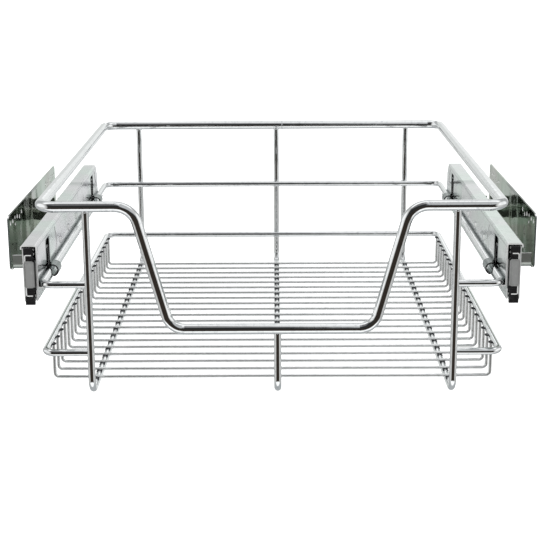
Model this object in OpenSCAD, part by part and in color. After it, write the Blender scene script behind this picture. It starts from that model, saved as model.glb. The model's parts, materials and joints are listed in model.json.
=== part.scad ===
// Pull-out cabinet basket: a bent-wire basket that hangs on two ball slides, with the
// two spacer brackets that screw to the sides of the cabinet. All sizes in millimetres.
// X is the width, Y the depth (the front is at low Y), Z is up; the wire feet stand on Z = 0.
// Inside the modules Y is counted from the plane of the front rim wire; centred() shifts it.

/* [Basket] */
// Width of the basket between the centrelines of its rim wire
rim_w = 368; // [330:2:420]
// Depth of the basket between the centrelines of its rim wire
rim_d = 428; // [410:2:480]
// Height of the rim wire's centreline above the feet
rim_z = 157; // [152:1:176]
// Height of the middle rail's centreline, which rests in the slide carriers
waist_z = 92; // [88:1:96]
// Height of the tray rail's centreline
tray_z = 34.5; // [28:0.5:42]
// Radius of the bends in the corners of the rim wire
rim_corner_r = 13; // [10:1:24]
// Radius of the bends in the corners of the middle and tray rails
rail_corner_r = 9; // [7:1:14]

/* [Wires] */
// Diameter of the rim wire
rim_wire = 8; // [7:0.5:9]
// Diameter of the hoops and of the middle and tray rails
rail_wire = 5; // [4:0.5:5.5]
// Diameter of the thin wires of the tray
floor_wire = 2.5; // [2:0.25:3]

/* [Front dip] */
// Half width of the dip at the height of the rim
dip_top_x = 110; // [100:1:120]
// Half width of the dip at the height of its bar
dip_bar_x = 82; // [72:1:90]
// Height of the centreline of the dip's bar above the feet
dip_bar_z = 56; // [48:1:84]
// Radius of the upper bends of the dip
dip_top_r = 18; // [12:1:22]
// Radius of the lower bends of the dip
dip_bar_r = 15; // [10:1:20]

/* [Hoops] */
// Distance of the two outer hoops from the middle of the basket
hoop_x = 147; // [140:1:152]
// Distance of the centre hoop to the right of the middle of the basket
centre_hoop_x = 4.5; // [-12:0.5:12]
// Radius of the bends at the feet of the hoops
hoop_r = 11; // [8:1:16]

/* [Tray wires] */
// Number of thin cross wires in the tray
floor_wires_n = 20; // [10:1:24]
// Distance of the first and the last cross wire from the plane of the rim
floor_inset = 27; // [22:1:34]
// Radius of the bends where a cross wire turns up
floor_bend_r = 3.5; // [3:0.5:9]
// Height of the cut ends of the cross wires above the centreline of the tray rail
floor_end_over = 1.2; // [0:0.1:2.4]
// How far the returns of the rails pass the centreline of the outer hoops
return_past = 1.5; // [0.5:0.25:2.25]

/* [Slide] */
// Length of the rail that stays on the cabinet
slide_len = 370; // [352:2:380]
// Distance of the front ends of the rails behind the plane of the rim
slide_y0 = 8; // [8:0.5:12]
// Height of the slide
slide_h = 45; // [44:0.5:47]
// Thickness of the slide
slide_t = 10.8; // [10.6:0.1:12]
// How far the top of the slide stands above the centreline of the middle rail
slide_over_waist = 30; // [29.5:0.1:31]
// Sheet thickness of the outer rail
outer_t = 1; // [0.8:0.1:1.1]
// Sheet thickness of the middle slide rail
mid_t = 0.9; // [0.7:0.1:1]
// Sheet thickness of the inner rail
inner_t = 1; // [0.8:0.1:1.2]
// Diameter of the bearing balls
ball_d = 4; // [3.6:0.1:4.2]
// Clearance of a ball to the track over it and to the track under it
ball_gap = 0.05; // [0.03:0.01:0.1]
// Clearance of a ball in its pocket
pocket_gap = 0.1; // [0.06:0.02:0.3]
// Thickness of the strips that hold the balls
cage_t = 1; // [0.8:0.1:1.4]
// Thickness of the web that joins the two strips of a cage
cage_web = 0.5; // [0.4:0.05:0.6]
// Clearance between sliding webs and channels
web_gap = 0.2; // [0.15:0.01:0.25]
// Length of the ball cages
cage_len = 168; // [120:2:170]
// Number of balls in each row
balls_n = 8; // [4:1:12]
// How far the middle slide rail and its stop stand in front of the other rails
nose_t = 3; // [2.4:0.2:4]
// Length of the fingers of the stop at the front of the middle slide rail
stop_len = 12; // [8:1:14]
// How far the foot of the stop hangs below the slide, in front of the outer rail
stop_foot = 1.8; // [0:0.1:2.4]
// Length of the plastic block inside the back of the outer rail
rear_block = 10; // [6:1:12]
// Depth of the plug of the grey cap inside the front of the inner rail
cap_depth = 9; // [5:1:12]
// Height of the face of the grey cap
cap_h = 22; // [20:0.5:23]
// Thickness of the face of the grey cap
cap_face = 1.5; // [1.2:0.1:2]
// Length of the low front plate of the inner rail
low_plate_len = 37; // [20:1:44]
// Radius of the small hole in the low front plate
low_hole_r = 1.4; // [0.8:0.1:2]
// Distance of the small hole from the back end of the low front plate
low_hole_back = 14; // [6:1:16]
// Travel of the basket that the ball cages are placed for
travel = 330; // [300:5:340]

/* [Carrier] */
// Sheet thickness of the carrier
carrier_t = 1.2; // [1:0.1:1.4]
// Width of the ledge that holds the middle rail
ledge_w = 5.4; // [5:0.1:5.6]
// Clearance between the middle rail and the upright face of the carrier
carrier_gap = 0.1; // [0.05:0.05:0.3]
// Clearance between the top flange of the carrier and the top of the slide
top_gap = 0.8; // [0.5:0.1:1.5]
// Distance of the front tongue's slot from the front end of the carrier
slot_front = 43; // [36:1:52]
// Distance of the rear tongue's slot from the back end of the carrier
slot_rear = 33; // [26:1:44]
// Width of the slots that the tongues are cut from
slot_w = 16; // [10:0.5:18]
// Height of the slots above the centreline of the middle rail
slot_h = 26; // [22:0.5:27]
// How far a tongue is narrower than its slot, on each side
tongue_side = 0.3; // [0.2:0.05:0.6]
// Inner radius of the loop that a tongue makes round the wire and the ledge
tongue_r = 4.1; // [4:0.05:4.4]
// Height of the middle rail's centreline over the middle of that loop
tongue_drop = 0.2; // [0:0.05:0.25]
// How far round a tongue reaches, in degrees
tongue_turn = 262; // [200:2:264]
// Depth of the pressed panels round the slots
panel_depth = 0.4; // [0.2:0.05:0.5]
// Length of the pressed panels
panel_len = 78; // [60:1:90]
// Distance of the front panel from the front end of the carrier
panel_front = 20; // [14:1:20]
// Distance of the rear panel from the back end of the carrier
panel_rear = 12; // [8:1:13]
// Height of the down-turned outer edge of the top flange
flange_lip = 3.5; // [2.8:0.1:5]
// Clearance between that edge and the outer rail
flange_gap = 0.3; // [0.2:0.05:0.5]
// Distance of the first rivet from the front end of the carrier
carrier_rivet_front = 116; // [114:1:130]
// Distance of the last rivet from the back end of the carrier
carrier_rivet_rear = 109; // [107:1:120]

/* [Bracket] */
// Distance of the outer face of a bracket from the middle of the basket
bracket_x = 232; // [231:0.5:238]
// Length of a bracket
bracket_len = 250; // [230:2:260]
// Distance of the bracket's front end behind the plane of the rim
bracket_y0 = 110; // [104:1:114]
// Height of a bracket
bracket_h = 48; // [46:0.5:52]
// Sheet thickness of a bracket
bracket_t = 1.5; // [1.2:0.1:2]
// Height of the inner lip that carries the slide
lip_h = 33; // [28:0.5:38]
// Inside radius of the long bends of a bracket
long_bend = 1; // [0.8:0.1:1.4]
// Size of the cut corners of the upright plate
plate_cut = 3; // [1.5:0.5:4]
// Height of the tabs that are turned up at the ends of the bracket's floor
tab_h = 13.6; // [10:0.2:14]
// Inside radius of the bend at the foot of a tab
tab_bend = 4.2; // [3:0.2:5]
// Clearance between a tab and the long bends beside it
tab_side = 0.7; // [0.4:0.1:1.4]
// Radius of the screw holes
screw_r = 2.3; // [1.6:0.1:2.6]
// Radius of the small holes of the third column
small_screw_r = 1.8; // [1.2:0.1:2]
// Distance from one column of holes to the next
hole_pitch = 10.4; // [9:0.2:11]
// Distance of the first column of holes from the end of the bracket
hole_end = 7; // [6.5:0.5:9]
// Distance of the row of holes below the top edge
row_drop = 8; // [7.5:0.5:10]
// Distance between the two small holes of the third column
small_pitch = 6.2; // [5:0.2:7]
// How much higher the upper one of them is than the row
small_rise = 1.2; // [0:0.2:2]
// How much lower the fifth hole is than the row
fifth_drop = 2.4; // [1:0.2:3.4]
// Distance of the first and the last rivet from the ends of the bracket
rivet_inset = 15; // [12:1:30]
// Radius of the rivets' shanks
rivet_r = 2; // [1.6:0.1:2.4]
// Radius of the rivets' heads
rivet_head_r = 3.8; // [3:0.1:4.4]
// Thickness of the rivets' heads
rivet_head_t = 0.9; // [0.6:0.1:1.4]

/* [Hidden] */
$fn = 48;
rr = rail_wire / 2;
fr = floor_wire / 2;
R = rim_wire / 2;
hw = rim_w / 2;
slip = 0.04;
weld_gap = 0.02;
// the rails lie inside the upright legs of the hoops, flush with the outside of the rim
rail_x = hw + R - rr;
rail_y0 = rail_wire;
rail_y1 = rim_d - rail_wire;
floor_z = rail_wire + fr;
leg_x = rail_x - rr - fr;
floor_step = (rim_d - 2 * floor_inset) / (floor_wires_n - 1);
// cross section of carrier and slide, measured from the middle of the basket
web_x0 = rail_x + rr + carrier_gap;
web_x1 = web_x0 + carrier_t;
slide_x1 = web_x1 + slide_t;
slide_z1 = waist_z + slide_over_waist;
slide_z0 = slide_z1 - slide_h;
zc = slide_z1 - slide_h / 2;
slide_y1 = slide_y0 + slide_len;
run_y1 = slide_y1 - rear_block - 2;
br = ball_d / 2;
hh = slide_h / 2;
flange_t = outer_t + 0.1;
outer_row = hh - flange_t - ball_gap - br;
mid_h = outer_row - br - ball_gap;
inner_row = mid_h - mid_t - ball_gap - br;
inner_h = inner_row - br - ball_gap;
// positions across the thickness of the slide
outer_s = slide_t - outer_t;
outer_cage_s = outer_s - web_gap - cage_web;
mid_s = outer_cage_s - web_gap - mid_t;
inner_cage_s = mid_s - web_gap - cage_web;
inner_s = inner_cage_s - 0.3;
ball_s = 4.5;
lip_s = 1.5;
cage_s0 = 2;
cage_y0 = slide_y0 + travel * 0.25 + stop_len + 5;
ball_step = (cage_len - 14) / (balls_n - 1);
carrier_z1 = slide_z1 + top_gap + carrier_t;
ledge_z1 = waist_z - rr;
ledge_z0 = ledge_z1 - carrier_t;
slot_y = [slide_y0 + slot_front, slide_y1 - slot_rear - slot_w];
panel_y = [slide_y0 + panel_front, slide_y1 - panel_rear - panel_len];
bracket_y1 = bracket_y0 + bracket_len;
bracket_z0 = slide_z0;
bracket_z1 = bracket_z0 + bracket_h;
rivet_step = (bracket_len - 2 * rivet_inset) / 3;
rivet_y = [for (i = [0:3]) bracket_y0 + rivet_inset + i * rivet_step];
carrier_rivet_step = (slide_len - carrier_rivet_front - carrier_rivet_rear) / 3;
carrier_rivet_y = [for (i = [0:3]) slide_y0 + carrier_rivet_front + i * carrier_rivet_step];
nose_y0 = slide_y0 - nose_t;
hole_z = bracket_z1 - row_drop;

chrome = [0.80, 0.81, 0.83];
zinc = [0.78, 0.80, 0.80];
dark_zinc = [0.52, 0.56, 0.55];
steel = [0.68, 0.70, 0.72];
black = [0.06, 0.06, 0.065];
grey = [0.50, 0.51, 0.51];

// ---- helpers -------------------------------------------------------------------------

// Straight bar of radius r from point a to point b, slipped into its bends by k
module bar(a, b, r, k = 0) {
    u = dir(a, b);
    translate(a - u * 2 * k)
        rotate([0, acos(u[2]), atan2(u[1], u[0])])
            cylinder(h = norm(b - a) + 4 * k, r = r - k);
}

// Bend of wire radius r at corner v, from direction u to direction w, with bend radius br
module bend(v, u, w, r, bend_r) {
    turn = acos(u * w);
    n = cross(u, w) / norm(cross(u, w));
    e = cross(u, n);
    c = v - u * (bend_r * tan(turn / 2)) - e * bend_r;
    multmatrix([
        [e[0], u[0], n[0], c[0]], [e[1], u[1], n[1], c[1]],
        [e[2], u[2], n[2], c[2]], [0, 0, 0, 1]
    ])
        rotate_extrude(angle = turn)
            translate([bend_r, 0])
                circle(r);
}

function dir(a, b) = (b - a) / norm(b - a);
function trim(a, v, b, bend_r) = bend_r * tan(acos(dir(a, v) * dir(v, b)) / 2);

// Bent wire through the points p; q[i] is the bend radius at point i. Where a bend is not
// square, k makes the straight bars a trace thinner and slips them into the bends
module wire(p, q, r, closed = false, k = 0) {
    n = len(p);
    last = closed ? n - 1 : n - 2;
    for (i = [0:last]) {
        a = p[i];
        b = p[(i + 1) % n];
        ta = (closed || i > 0) ? trim(p[(i + n - 1) % n], a, b, q[i]) : 0;
        tb = (closed || i < n - 2) ? trim(a, b, p[(i + 2) % n], q[(i + 1) % n]) : 0;
        bar(a + dir(a, b) * ta, b - dir(a, b) * tb, r, k);
        if (closed || i < n - 2)
            bend(b, dir(a, b), dir(b, p[(i + 2) % n]), r, q[(i + 1) % n]);
    }
}

// Section drawn in X and Z, run along Y from y0 to y1
module along_y(y0, y1) {
    translate([0, y1, 0])
        rotate([90, 0, 0])
            linear_extrude(height = y1 - y0)
                children();
}

// Box from corner a to corner b
module box(a, b) {
    translate(a)
        cube(b - a);
}

// Rectangle from corner a to corner b
module rect(a, b) {
    translate(a)
        square(b - a);
}

// Quarter ring in the plane, centre c, in the quadrant of the signs sx and sy
module quarter(c, r0, r1, sx, sy) {
    translate(c)
        intersection() {
            difference() {
                circle(r1);
                circle(r0);
            }
            translate([sx > 0 ? 0 : -r1 - 1, sy > 0 ? 0 : -r1 - 1])
                square(r1 + 1);
        }
}

// The part stands with the middle of its depth on Y = 0
module centred() {
    translate([0, -rim_d / 2, 0])
        children();
}

// Parts of the right hand side are mirrored for the left
module side(s) {
    if (s > 0)
        children();
    else
        mirror([1, 0, 0])
            children();
}

// Shapes drawn for the upper half of the slide, repeated for the lower half
module both_halves() {
    children();
    mirror([0, 1])
        children();
}

// ---- basket --------------------------------------------------------------------------

module top_rim() {
    color(chrome)
        centred()
            wire(
                [
                    [-hw, 0, rim_z], [-dip_top_x, 0, rim_z],
                    [-dip_bar_x, 0, dip_bar_z], [dip_bar_x, 0, dip_bar_z],
                    [dip_top_x, 0, rim_z], [hw, 0, rim_z],
                    [hw, rim_d, rim_z], [-hw, rim_d, rim_z]
                ],
                [
                    rim_corner_r, dip_top_r, dip_bar_r, dip_bar_r,
                    dip_top_r, rim_corner_r, rim_corner_r, rim_corner_r
                ],
                R, closed = true, k = slip
            );
}

// Rail on three sides, with short returns along the front that end behind the outer hoops
module three_sided(z) {
    e = hoop_x - return_past;
    wire(
        [
            [-e, rail_y0, z], [-rail_x, rail_y0, z], [-rail_x, rail_y1, z],
            [rail_x, rail_y1, z], [rail_x, rail_y0, z], [e, rail_y0, z]
        ],
        [0, rail_corner_r, rail_corner_r, rail_corner_r, rail_corner_r, 0], rr
    );
}

module middle_rail() {
    color(chrome)
        centred()
            three_sided(waist_z);
}

module tray_rail() {
    color(chrome)
        centred()
            three_sided(tray_z);
}

// Upright hoop: front leg, foot under the tray wires, back leg; both tops are coped to the wire above
module hoop(x, front_z) {
    color(chrome)
        centred()
            difference() {
                wire(
                    [[x, 0, front_z], [x, 0, rr], [x, rim_d, rr], [x, rim_d, rim_z]],
                    [0, hoop_r, hoop_r, 0], rr
                );
                translate([x - rail_wire, 0, front_z])
                    rotate([0, 90, 0])
                        cylinder(h = 2 * rail_wire, r = R + weld_gap);
                translate([x - rail_wire, rim_d, rim_z])
                    rotate([0, 90, 0])
                        cylinder(h = 2 * rail_wire, r = R + weld_gap);
            }
}

module left_hoop() hoop(-hoop_x, rim_z);
module centre_hoop() hoop(centre_hoop_x, dip_bar_z);
module right_hoop() hoop(hoop_x, rim_z);

module tray_wires() {
    color(chrome)
        centred()
            for (i = [0:floor_wires_n - 1])
                translate([0, floor_inset + i * floor_step, 0])
                    wire(
                        [
                            [-leg_x, 0, tray_z + floor_end_over], [-leg_x, 0, floor_z],
                            [leg_x, 0, floor_z], [leg_x, 0, tray_z + floor_end_over]
                        ],
                        [0, floor_bend_r, floor_bend_r, 0], fr
                    );
}

// ---- carriers ------------------------------------------------------------------------

// Pressed panel round a slot, with cut corners
module panel(y0) {
    c = 9;
    y1 = y0 + panel_len;
    z0 = ledge_z1 + 6;
    z1 = carrier_z1 - 4.5;
    translate([web_x0 - 1, 0, 0])
        rotate([90, 0, 90])
            linear_extrude(height = 1 + panel_depth)
                polygon([
                    [y0 + c, z0], [y1 - c, z0], [y1, z0 + c], [y1 - c, z1],
                    [y0 + c, z1], [y0, z0 + c]
                ]);
}

// Slot with cut upper corners, that a tongue was bent out of
module slot_hole(y0) {
    c = 3;
    y1 = y0 + slot_w;
    z0 = waist_z - tongue_drop;
    z1 = waist_z + slot_h;
    translate([web_x0 - 1, 0, 0])
        rotate([90, 0, 90])
            linear_extrude(height = carrier_t + 2)
                polygon([[y0, z0], [y1, z0], [y1, z1 - c], [y1 - c, z1], [y0 + c, z1], [y0, z1 - c]]);
}

// Tongue that loops from the foot of its slot over the middle rail and under the ledge
module tongue(y0) {
    translate([web_x0 - tongue_r, y0 + tongue_side, waist_z - tongue_drop])
        rotate([-90, 0, 0])
            rotate([0, 0, -tongue_turn])
                rotate_extrude(angle = tongue_turn)
                    translate([tongue_r, 0])
                        square([carrier_t, slot_w - 2 * tongue_side]);
}

// Cross section of a carrier: ledge, upright face, and top flange with its down-turned edge
module carrier_section() {
    bi = 0.8;
    bo = bi + carrier_t;
    edge_x = slide_x1 + flange_gap;
    rect([web_x0 - ledge_w, ledge_z0], [web_x0 - bi, ledge_z1]);
    quarter([web_x0 - bi, ledge_z1 + bi], bi, bo, 1, -1);
    rect([web_x0, ledge_z1 + bi], [web_x1, carrier_z1 - bo]);
    quarter([web_x1 + bi, carrier_z1 - bo], bi, bo, -1, 1);
    rect([web_x1 + bi, carrier_z1 - carrier_t], [edge_x - bi, carrier_z1]);
    quarter([edge_x - bi, carrier_z1 - bo], bi, bo, 1, 1);
    rect([edge_x, carrier_z1 - flange_lip], [edge_x + carrier_t, carrier_z1 - bo]);
}

module carrier(s) {
    slit_y = slide_y0 + 2.5;
    color(zinc)
        centred()
            side(s) {
                difference() {
                    along_y(slide_y0, slide_y1)
                        carrier_section();
                    for (y = slot_y)
                        slot_hole(y);
                    for (y = panel_y)
                        panel(y);
                    // slit beside the bend of the flange, at the front
                    box([web_x0 - 1, slit_y, carrier_z1 - 8], [web_x1 + 1, slit_y + 2, carrier_z1 - 2.5]);
                    // back upper corner cut off
                    translate([web_x0 - 1, slide_y1, carrier_z1 - 12])
                        rotate([90, 0, 90])
                            linear_extrude(height = slide_t + 10)
                                polygon([[0, 0], [1, 0], [1, 13], [-11, 13]]);
                    for (y = carrier_rivet_y)
                        translate([web_x0 - 1, y, zc + 2])
                            rotate([0, 90, 0])
                                cylinder(h = carrier_t + 2, r = rivet_r + 0.05);
                }
                for (y = slot_y)
                    tongue(y);
            }
}

module left_carrier() carrier(-1);
module right_carrier() carrier(1);

// Rivets that hold the inner rail on the carrier
module carrier_rivets(s) {
    color(steel)
        centred()
            side(s)
                for (y = carrier_rivet_y)
                    translate([web_x0 - rivet_head_t, y, zc + 2])
                        rotate([0, 90, 0]) {
                            cylinder(h = rivet_head_t, r1 = rivet_head_r - 0.8, r2 = rivet_head_r);
                            cylinder(h = rivet_head_t + carrier_t + inner_t + 0.6, r = rivet_r);
                            translate([0, 0, rivet_head_t + carrier_t + inner_t])
                                cylinder(h = 0.8, r1 = rivet_head_r - 0.6, r2 = rivet_head_r - 1.2);
                        }
}

module left_carrier_rivets() carrier_rivets(-1);
module right_carrier_rivets() carrier_rivets(1);

// ---- slides --------------------------------------------------------------------------

// Place a slide section, drawn as distance from the carrier and height from the slide's middle
module at_slide(s) {
    side(s)
        translate([web_x1, 0, zc])
            children();
}

module inner_rail(s) {
    color(steel)
        centred()
            at_slide(s)
                difference() {
                    union() {
                        along_y(slide_y0, run_y1) {
                            rect([0, -inner_h + 1.5], [inner_t, inner_h - 1.5]);
                            both_halves() {
                                quarter([1.5, inner_h - 1.5], 1.5 - inner_t, 1.5, -1, 1);
                                rect([1.5, inner_h - inner_t], [inner_s, inner_h]);
                            }
                        }
                        translate([0, slide_y0, -hh + 0.8])
                            cube([inner_t, low_plate_len, hh - inner_h + 0.7]);
                    }
                    // windows behind the slots of the carrier
                    for (y = slot_y)
                        box([-1, y - 1.5, -8.5], [inner_t + 0.5, y + slot_w + 1.5, inner_h - 2.1]);
                    translate([-1, slide_y0 + low_plate_len - low_hole_back, -hh + 4])
                        rotate([0, 90, 0])
                            cylinder(h = inner_t + 2, r = low_hole_r);
                    for (y = carrier_rivet_y)
                        translate([-1, y, 2])
                            rotate([0, 90, 0])
                                cylinder(h = inner_t + 2, r = rivet_r + 0.05);
                }
}

module left_inner_rail() inner_rail(-1);
module right_inner_rail() inner_rail(1);

// Rectangle with round corners of radius r, from corner a to corner b
module round_rect(a, b, r) {
    rect([a[0] + r, a[1]], [b[0] - r, b[1]]);
    rect([a[0], a[1] + r], [b[0], b[1] - r]);
    for (x = [a[0] + r, b[0] - r], y = [a[1] + r, b[1] - r])
        translate([x, y])
            circle(r);
}

// Grey cap that closes the front of the inner rail: a face plate with a raised rim, and a plug
module front_cap(s) {
    y0 = nose_y0 - 0.2 - cap_face;
    y1 = slide_y0 + cap_depth;
    top = inner_h - 0.1;
    foot = top - cap_h;
    plug_top = inner_h - inner_t - 0.1;
    plug_foot = foot + 0.2;
    color(grey)
        centred()
            at_slide(s)
                difference() {
                    union() {
                        along_y(y0, nose_y0 - 0.2)
                            round_rect([1.5, foot], [outer_s - 0.4, top], 1.8);
                        box([inner_t + 0.1, nose_y0 - 0.5, plug_foot], [inner_s - 0.2, y1, plug_top]);
                    }
                    along_y(y0 - 1, y0 + 0.5)
                        round_rect([2.2, foot + 0.7], [outer_s - 1.1, top - 0.7], 1.1);
                    box(
                        [inner_t + 1.4, slide_y0 + 2, plug_foot + 1.4],
                        [inner_s + 1, y1 + 1, plug_top - 1.4]
                    );
                }
}

module left_front_cap() front_cap(-1);
module right_front_cap() front_cap(1);

// Black frame, open to one side, between the face of the cap and the end of the inner rail
module cap_frame(s) {
    y0 = nose_y0 - 0.2;
    foot = inner_h - 0.1 - cap_h;
    color(black)
        centred()
            at_slide(s)
                difference() {
                    box([0.2, y0, -inner_h + 0.1], [inner_s, slide_y0, inner_h - 0.1]);
                    box([inner_t, y0 - 1, foot + 0.1], [inner_s + 1, slide_y0 + 1, inner_h - inner_t]);
                }
}

module left_cap_frame() cap_frame(-1);
module right_cap_frame() cap_frame(1);

// Cage of one ball circuit: two strips with pockets, joined by a web
module cage(s, web_s, row) {
    color(black)
        centred()
            at_slide(s)
                difference() {
                    along_y(cage_y0, cage_y0 + cage_len) {
                        rect([web_s, -row - cage_t / 2], [web_s + cage_web, row + cage_t / 2]);
                        rect([cage_s0, row - cage_t / 2], [web_s + cage_web / 2, row + cage_t / 2]);
                        rect([cage_s0, -row - cage_t / 2], [web_s + cage_web / 2, -row + cage_t / 2]);
                    }
                    for (i = [0:balls_n - 1], z = [-row, row])
                        translate([ball_s, cage_y0 + 7 + i * ball_step, z - cage_t])
                            cylinder(h = 2 * cage_t, r = br + pocket_gap);
                }
}

module left_inner_cage() cage(-1, inner_cage_s, inner_row);
module right_inner_cage() cage(1, inner_cage_s, inner_row);
module left_outer_cage() cage(-1, outer_cage_s, outer_row);
module right_outer_cage() cage(1, outer_cage_s, outer_row);

module balls(s, row) {
    color(steel)
        centred()
            at_slide(s)
                for (i = [0:balls_n - 1], z = [-row, row])
                    translate([ball_s, cage_y0 + 7 + i * ball_step, z])
                        sphere(r = br);
}

module left_inner_balls() balls(-1, inner_row);
module right_inner_balls() balls(1, inner_row);
module left_outer_balls() balls(-1, outer_row);
module right_outer_balls() balls(1, outer_row);

// Middle member of the slide, a channel with small outward lips
module slide_rail(s) {
    b = 1.6;
    color(steel)
        centred()
            at_slide(s)
                difference() {
                    along_y(nose_y0, run_y1) {
                        rect([mid_s, -mid_h + b], [mid_s + mid_t, mid_h - b]);
                        both_halves() {
                            quarter([mid_s + mid_t - b, mid_h - b], b - mid_t, b, 1, 1);
                            rect([lip_s, mid_h - mid_t], [mid_s + mid_t - b, mid_h]);
                            rect([lip_s, mid_h], [lip_s + 0.8, mid_h + 0.9]);
                        }
                    }
                    // notches that the stop clips into
                    for (m = [0, 1])
                        mirror([0, 0, m])
                            translate([0, nose_y0 - 1, mid_h - mid_t - 0.5])
                                cube([lip_s + 1.8, nose_t + 1, mid_t + 2.5]);
                }
}

module left_slide_rail() slide_rail(-1);
module right_slide_rail() slide_rail(1);

// Black stop that clips round the front end of the middle member; the edges of the member's
// flanges show between its parts
module front_stop(s) {
    a = inner_h + 0.3;
    b = hh - flange_t - 0.2;
    x0 = lip_s + 1.3;
    x1 = mid_s - 0.4;
    y1 = slide_y0 - 0.1;
    y2 = slide_y0 + stop_len;
    over = mid_h + 0.05;
    under = mid_h - mid_t - 0.05;
    foot = -hh - stop_foot;
    color(black)
        centred()
            at_slide(s) {
                // in front of the outer rail the noses reach on over the edges of its flanges
                box([lip_s + 0.3, nose_y0, b], [outer_s - 0.3, y1, hh]);
                box([lip_s + 0.3, nose_y0, foot], [outer_s - 0.3, y1, -b]);
                for (m = [0, 1])
                    mirror([0, 0, m]) {
                        // nose under the flange, over it, and through the notch
                        box([lip_s + 0.3, nose_y0, a], [mid_s - 0.05, y1, under]);
                        box([lip_s + 0.3, nose_y0, over], [outer_s - 0.3, y1, b]);
                        box([lip_s + 0.3, nose_y0, a], [lip_s + 1.7, y1, b]);
                        // fingers over and under the flange
                        box([x0, nose_y0, over], [x1, y2, b]);
                        box([x0, nose_y0, a], [x1, y2, under]);
                    }
                // strap behind the inner rail's opening, that joins the two noses
                box([inner_s + 0.3, nose_y0, -a - 0.5], [mid_s - 0.05, y1, a + 0.5]);
                boss(mid_s - 2.4, a + 2.1);
                boss(lip_s + 2.2, -b + 1.9);
            }
}

// Small ring on the front of the stop
module boss(x, z) {
    translate([x, nose_y0 + 0.2, z])
        rotate([90, 0, 0])
            difference() {
                cylinder(h = 0.7, r = 1.5);
                translate([0, 0, -1])
                    cylinder(h = 3, r = 0.7);
            }
}

module left_front_stop() front_stop(-1);
module right_front_stop() front_stop(1);

// Cabinet member of the slide
module outer_rail(s) {
    b = 1.8;
    ro = outer_t + 0.4;
    color(steel)
        centred()
            at_slide(s)
                difference() {
                    along_y(slide_y0, slide_y1) {
                        rect([outer_s, -hh + b], [slide_t, hh - b]);
                        both_halves() {
                            quarter([slide_t - b, hh - b], b - outer_t, b, 1, 1);
                            rect([lip_s + ro, hh - outer_t], [slide_t - b, hh]);
                            quarter([lip_s + ro, hh - ro], 0.4, ro, -1, 1);
                            rect([lip_s, hh - 2.4], [lip_s + outer_t, hh - ro]);
                        }
                    }
                    for (y = rivet_y)
                        translate([outer_s - 1, y, 0])
                            rotate([0, 90, 0])
                                cylinder(h = outer_t + 2, r = rivet_r + 0.05);
                }
}

module left_outer_rail() outer_rail(-1);
module right_outer_rail() outer_rail(1);

// Black block at the back of the outer rail, where the moving rails stop
module rear_block_part(s) {
    y0 = slide_y1 - 1 - rear_block;
    y1 = slide_y1 - 1;
    color(black)
        centred()
            at_slide(s)
                difference() {
                    box([lip_s + 1.4, y0, -hh + 3.2], [outer_s - 0.1, y1, hh - 3.2]);
                    box([lip_s, y0 + 3, -hh + 7], [outer_s - 2.5, y1 + 1, hh - 7]);
                }
}

module left_rear_block() rear_block_part(-1);
module right_rear_block() rear_block_part(1);

// ---- brackets ------------------------------------------------------------------------

// Rivets that hold the outer rail on the lip of the bracket
module bracket_rivets(s) {
    color(steel)
        centred()
            side(s)
                for (y = rivet_y)
                    translate([slide_x1 - outer_t, y, zc])
                        rotate([0, 90, 0]) {
                            cylinder(h = outer_t + bracket_t + 0.5, r = rivet_r);
                            translate([0, 0, outer_t + bracket_t])
                                cylinder(h = rivet_head_t, r1 = rivet_head_r, r2 = rivet_head_r - 0.8);
                        }
}

module left_bracket_rivets() bracket_rivets(-1);
module right_bracket_rivets() bracket_rivets(1);

// One screw hole through the plate, at distance d from either end of the bracket
module screw_pair(d, z, r) {
    for (y = [bracket_y0 + d, bracket_y1 - d])
        translate([bracket_x - bracket_t - 2, y, z])
            rotate([0, 90, 0])
                cylinder(h = bracket_t + 4, r = r);
}

// The screw holes: a row of five, with two small ones in the third column and a low fifth one
module screw_holes() {
    for (i = [0, 1, 3, 5])
        screw_pair(hole_end + i * hole_pitch, hole_z, screw_r);
    screw_pair(hole_end + 2 * hole_pitch, hole_z + small_rise, small_screw_r);
    screw_pair(hole_end + 2 * hole_pitch, hole_z + small_rise - small_pitch, small_screw_r);
    screw_pair(hole_end + 4 * hole_pitch, hole_z - fifth_drop, screw_r);
}

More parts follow.
